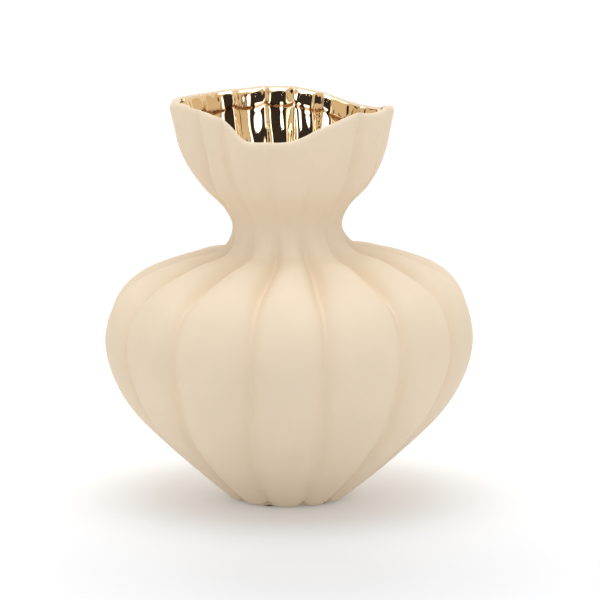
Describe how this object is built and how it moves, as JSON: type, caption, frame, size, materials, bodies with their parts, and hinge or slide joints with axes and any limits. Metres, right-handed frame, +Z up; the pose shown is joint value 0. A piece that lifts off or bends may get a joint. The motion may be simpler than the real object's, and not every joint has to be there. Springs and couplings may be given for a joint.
{
  "type": "porcelain vase",
  "caption": "Matt cream porcelain vase shaped like a gathered cloth bag, with a lobed belly, pinched neck and a wavy open mouth lined in gold.",
  "frame": {"origin": "centre of the bounding box in X and Y, on the surface that the foot pads rest on", "axes": "+Z up through the mouth, -Y the front with the lowest stretch of lip, +X the viewer's right"},
  "size_m": [0.1786, 0.182, 0.1991],
  "materials": {
    "bisque": "unglazed matt cream bisque, fine even grain",
    "gold": "bright gold lustre over glaze, mirror polished",
    "glaze": "clear gloss glaze over cream porcelain",
    "pads": "thin dark brown felt, self-adhesive"
  },
  "bodies": {
    "root": {"porcelain_body": "bisque", "gold_lining": "gold", "interior_glaze": "glaze", "foot_pad_1": "pads", "foot_pad_2": "pads", "foot_pad_3": "pads", "foot_pad_4": "pads"}
  },
  "joints": []
}
